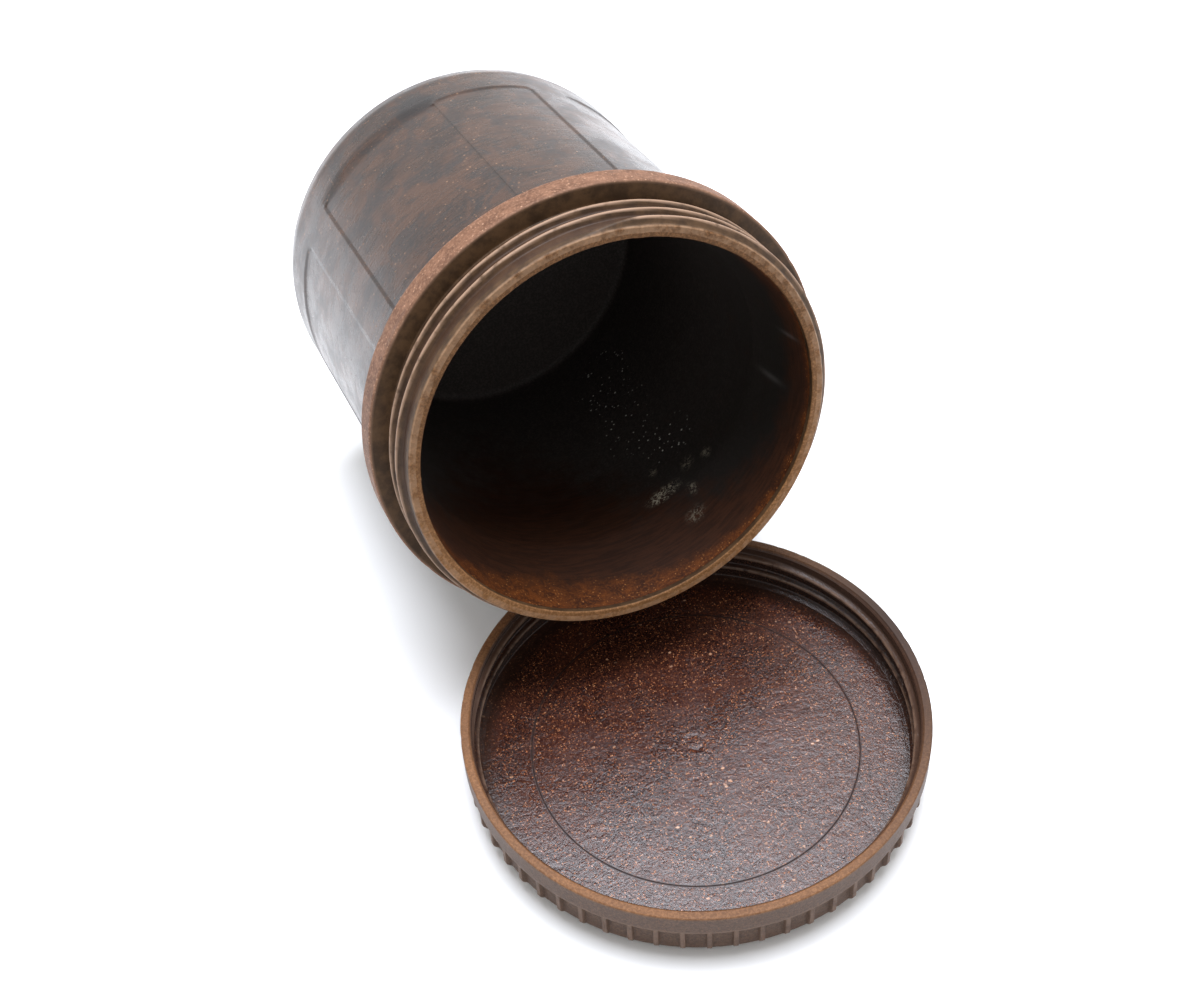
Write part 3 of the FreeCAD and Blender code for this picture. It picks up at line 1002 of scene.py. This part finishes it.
LID_DARK = colour(0.016, 0.0055, 0.0045)
LID_REDDISH = colour(0.033, 0.0105, 0.007)
LID_GRAIN = colour(0.105, 0.033, 0.016)
# Each layer of fibres: size in millimetres, share of the cells, stretch, strength and colour.
LID_FIBRES = (
    (0.36, 0.38, (1, 1, 1), 0.7, colour(0.32, 0.095, 0.032)),
    (0.44, 0.26, (1, 1.3, 1), 0.8, colour(0.47, 0.165, 0.060)),
    (0.55, 0.12, (2.2, 0.8, 1), 0.85, colour(0.56, 0.245, 0.110)),
    (0.55, 0.12, (0.8, 2.2, 1), 0.85, colour(0.56, 0.245, 0.110)),
    (0.95, 0.03, (1, 1.3, 1), 0.8, colour(0.58, 0.32, 0.19)),
)


def lid_body_colour(shader, grain):
    """Reddish-brown moulding crowded with tan and orange fibres."""
    cloud = shader.noise(10, 4, 0.6, warp=0.4)
    base = shader.blend(shader.ramp(cloud, 0.34, 0.66), LID_DARK, LID_REDDISH)
    base = shader.wear(base, shader.patches(grain, 0.45, 0.65, 0.7), LID_GRAIN)
    for size_mm, share, stretch, strength, fibre in LID_FIBRES:
        base = shader.wear(base, shader.times(fibres(shader, size_mm, share, stretch), strength), fibre)
    return base


# Painted shade round the disc and on the bore's wall, painted light on its upper wall, and a painted
# highlight on its crests.
DISC_EDGE_SHADE = colour(0.010, 0.005, 0.004)
BORE_WALL_SHADE = colour(0.026, 0.013, 0.009)
BORE_UPPER_LIGHT = colour(0.066, 0.037, 0.025)
BORE_CREST_HIGHLIGHT = colour(0.20, 0.125, 0.085)


def lid_inside_painted_light(shader, base):
    """Painted shade in the dark line round the disc and on the bore's darker wall, painted light on its
    upper wall and a painted highlight on the thread's crests.
    """
    # Painted shade round the disc's edge.
    base = shader.wear(base, shader.times(shader.mark("disc_edge"), 0.85), DISC_EDGE_SHADE)
    # Painted shade on the bore's wall.
    base = shader.wear(base, shader.times(shader.mark("wall"), 0.8), BORE_WALL_SHADE)
    # Painted light on the bore's upper wall.
    base = shader.wear(base, shader.times(shader.mark("lit_upper"), 0.7), BORE_UPPER_LIGHT)
    # Painted highlight on the thread's crests.
    crest = shader.times(shader.mark("crest"), shader.ramp(shader.noise(1.5, 3), 0.25, 0.6))
    return shader.wear(base, shader.times(crest, 0.7), BORE_CREST_HIGHLIGHT)


SKIRT_DARK = colour(0.060, 0.032, 0.019)
SKIRT_BROWN = colour(0.112, 0.063, 0.038)
RIB_TAN = colour(0.165, 0.10, 0.066)
RIM_DARK = colour(0.132, 0.056, 0.020)
RIM_TAN = colour(0.245, 0.115, 0.048)
RIM_BROWN = colour(0.028, 0.013, 0.007)
BAND_EDGE_TAN = colour(0.20, 0.12, 0.075)


def lid_outside_wear(shader, grain, base):
    """Dull brown outside, tan on the ribs and the rim, with the rim browner on one side."""
    brown = shader.blend(shader.ramp(grain, 0.35, 0.7), SKIRT_DARK, SKIRT_BROWN)
    base = shader.wear(base, shader.times(shader.mark("outer"), 0.9), brown)
    ribs = shader.times(shader.mark("rib"), shader.ramp(shader.noise(2.0, 3), 0.3, 0.6))
    base = shader.wear(base, shader.times(ribs, 0.5), RIB_TAN)
    tan = shader.blend(shader.ramp(grain, 0.35, 0.7), RIM_DARK, RIM_TAN)
    stains = shader.level(shader.ramp(shader.noise(9, 4), 0.35, 0.65), 0.75, 1.0)
    tan = shader.wear(tan, shader.mark("browner"), RIM_BROWN)
    base = shader.wear(base, shader.times(shader.mark("rim"), stains), tan)
    return shader.wear(base, shader.times(shader.mark("edge"), 0.5), BAND_EDGE_TAN)


def lid_material():
    """Speckled phenolic, glossy inside and matt on the rim, the skirt and the disc's edge."""
    shader = Shader("speckled_phenolic", IOR=1.45)
    grain = shader.noise(0.38, 3, 0.7, warp=0.8)
    base = lid_inside_painted_light(shader, lid_body_colour(shader, grain))
    shader.plug(shader.surface.inputs["Base Color"], lid_outside_wear(shader, grain, base))
    matt = shader.larger(shader.mark("rim"), shader.times(shader.mark("outer"), 0.85))
    matt = shader.larger(matt, shader.mark("disc_edge"))
    gloss = shader.level(shader.ramp(shader.noise(4, 5), 0.35, 0.65), 0.12, 0.22)
    shader.finish(matt, gloss, roughest=0.6, dullest=0.3)
    ripple = shader.bump(shader.noise(1.6, 4, 0.6, warp=0.6), 0.07)
    shader.plug(shader.surface.inputs["Normal"], shader.bump(grain, 0.04, ripple))
    return shader.material


PAPER_DARK = colour(0.92, 0.92, 0.91)
PAPER_PALE = colour(0.94, 0.94, 0.93)


def floor_material():
    """Plain white paper."""
    shader = Shader("pale_paper", Roughness=0.8)
    tint = shader.blend(shader.ramp(shader.noise(40, 2), 0.3, 0.7), PAPER_DARK, PAPER_PALE)
    shader.plug(shader.surface.inputs["Base Color"], tint)
    return shader.material


# ---------------------------------------------------------------- studio

FLOOR_SIZE = 6


def make_floor():
    """A plain floor, much wider than the camera sees."""
    bpy.ops.mesh.primitive_plane_add(size=FLOOR_SIZE)
    floor = bpy.context.object
    floor.name = "studio_floor"
    floor.data.materials.append(floor_material())


# The surround is dimmest where its direction's share along the heading is -0.7 or less.
SURROUND_HEADING = math.radians(40)
SURROUND_DIM_SHARE = -0.7
SURROUND_DIM = 0.58
SURROUND_BRIGHT = 1.2


def make_world():
    """A white surround that brightens smoothly towards the back right of the object."""
    world = bpy.data.worlds.new("white_surround")
    bpy.context.scene.world = world
    world.use_nodes = True
    nodes = world.node_tree.nodes
    links = world.node_tree.links
    place = nodes.new("ShaderNodeTexCoord")
    along = nodes.new("ShaderNodeVectorMath")
    along.operation = "DOT_PRODUCT"
    along.inputs[1].default_value = (math.sin(SURROUND_HEADING), math.cos(SURROUND_HEADING), 0)
    links.new(place.outputs["Generated"], along.inputs[0])
    span = nodes.new("ShaderNodeMapRange")
    span.inputs["From Min"].default_value = SURROUND_DIM_SHARE
    span.inputs["From Max"].default_value = 1.0
    span.inputs["To Min"].default_value = SURROUND_DIM
    span.inputs["To Max"].default_value = SURROUND_BRIGHT
    links.new(along.outputs["Value"], span.inputs["Value"])
    links.new(span.outputs["Result"], nodes["Background"].inputs["Strength"])
    nodes["Background"].inputs["Color"].default_value = colour(1.0, 1.0, 1.0)


SOFTBOX_HEADING = math.radians(26)
SOFTBOX_HEIGHT = math.radians(79)
SOFTBOX_REACH = 1.2
SOFTBOX_SIZE = 0.85
SOFTBOX_POWER = 24
SOFTBOX_COLOUR = (0.94, 0.98, 1.08)


def add_softbox():
    """One large round softbox, nearly overhead and a little behind the object."""
    toward = Vector((
        math.sin(SOFTBOX_HEADING) * math.cos(SOFTBOX_HEIGHT),
        math.cos(SOFTBOX_HEADING) * math.cos(SOFTBOX_HEIGHT),
        math.sin(SOFTBOX_HEIGHT),
    ))
    light = bpy.data.lights.new("softbox", "AREA")
    light.shape = "DISK"
    light.size = SOFTBOX_SIZE
    light.energy = SOFTBOX_POWER
    light.color = SOFTBOX_COLOUR
    lamp = bpy.data.objects.new("softbox", light)
    lamp.location = toward * SOFTBOX_REACH
    lamp.rotation_euler = (-toward).to_track_quat("-Z", "Y").to_euler()
    bpy.context.collection.objects.link(lamp)


CAMERA_PLACE = Vector((-67.5, -148.6, 235.2)) * MM
CAMERA_HEADING = math.radians(20.23)
CAMERA_PITCH = math.radians(47.35)
CAMERA_ROLL = math.radians(-3.86)
CAMERA_LENS = 55.51
CAMERA_NEAREST = 0.01


def make_camera():
    """A hand-held view down onto the mouth, a little to the left of it."""
    forward = Vector((
        math.sin(CAMERA_HEADING) * math.cos(CAMERA_PITCH),
        math.cos(CAMERA_HEADING) * math.cos(CAMERA_PITCH),
        -math.sin(CAMERA_PITCH),
    ))
    level = Vector((math.cos(CAMERA_HEADING), -math.sin(CAMERA_HEADING), 0))
    upright = level.cross(forward)
    right = level * math.cos(CAMERA_ROLL) + upright * math.sin(CAMERA_ROLL)
    up = upright * math.cos(CAMERA_ROLL) - level * math.sin(CAMERA_ROLL)
    lens = bpy.data.cameras.new("camera")
    lens.lens = CAMERA_LENS
    lens.clip_start = CAMERA_NEAREST
    camera = bpy.data.objects.new("camera", lens)
    turn = Matrix((right, up, -forward)).transposed().to_4x4()
    camera.matrix_world = Matrix.Translation(CAMERA_PLACE) @ turn
    bpy.context.collection.objects.link(camera)
    bpy.context.scene.camera = camera


# ---------------------------------------------------------------- assembly

def finish_piece(piece, node, material):
    """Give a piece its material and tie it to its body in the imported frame."""
    piece.data.materials.append(material)
    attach(piece, node)
    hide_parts(node)


make_camera()
make_world()
make_floor()
add_softbox()
finish_piece(build_jar(), "jar", jar_material())
finish_piece(build_lid(), "lid", lid_material())
bpy.context.scene.view_settings.view_transform = "Standard"
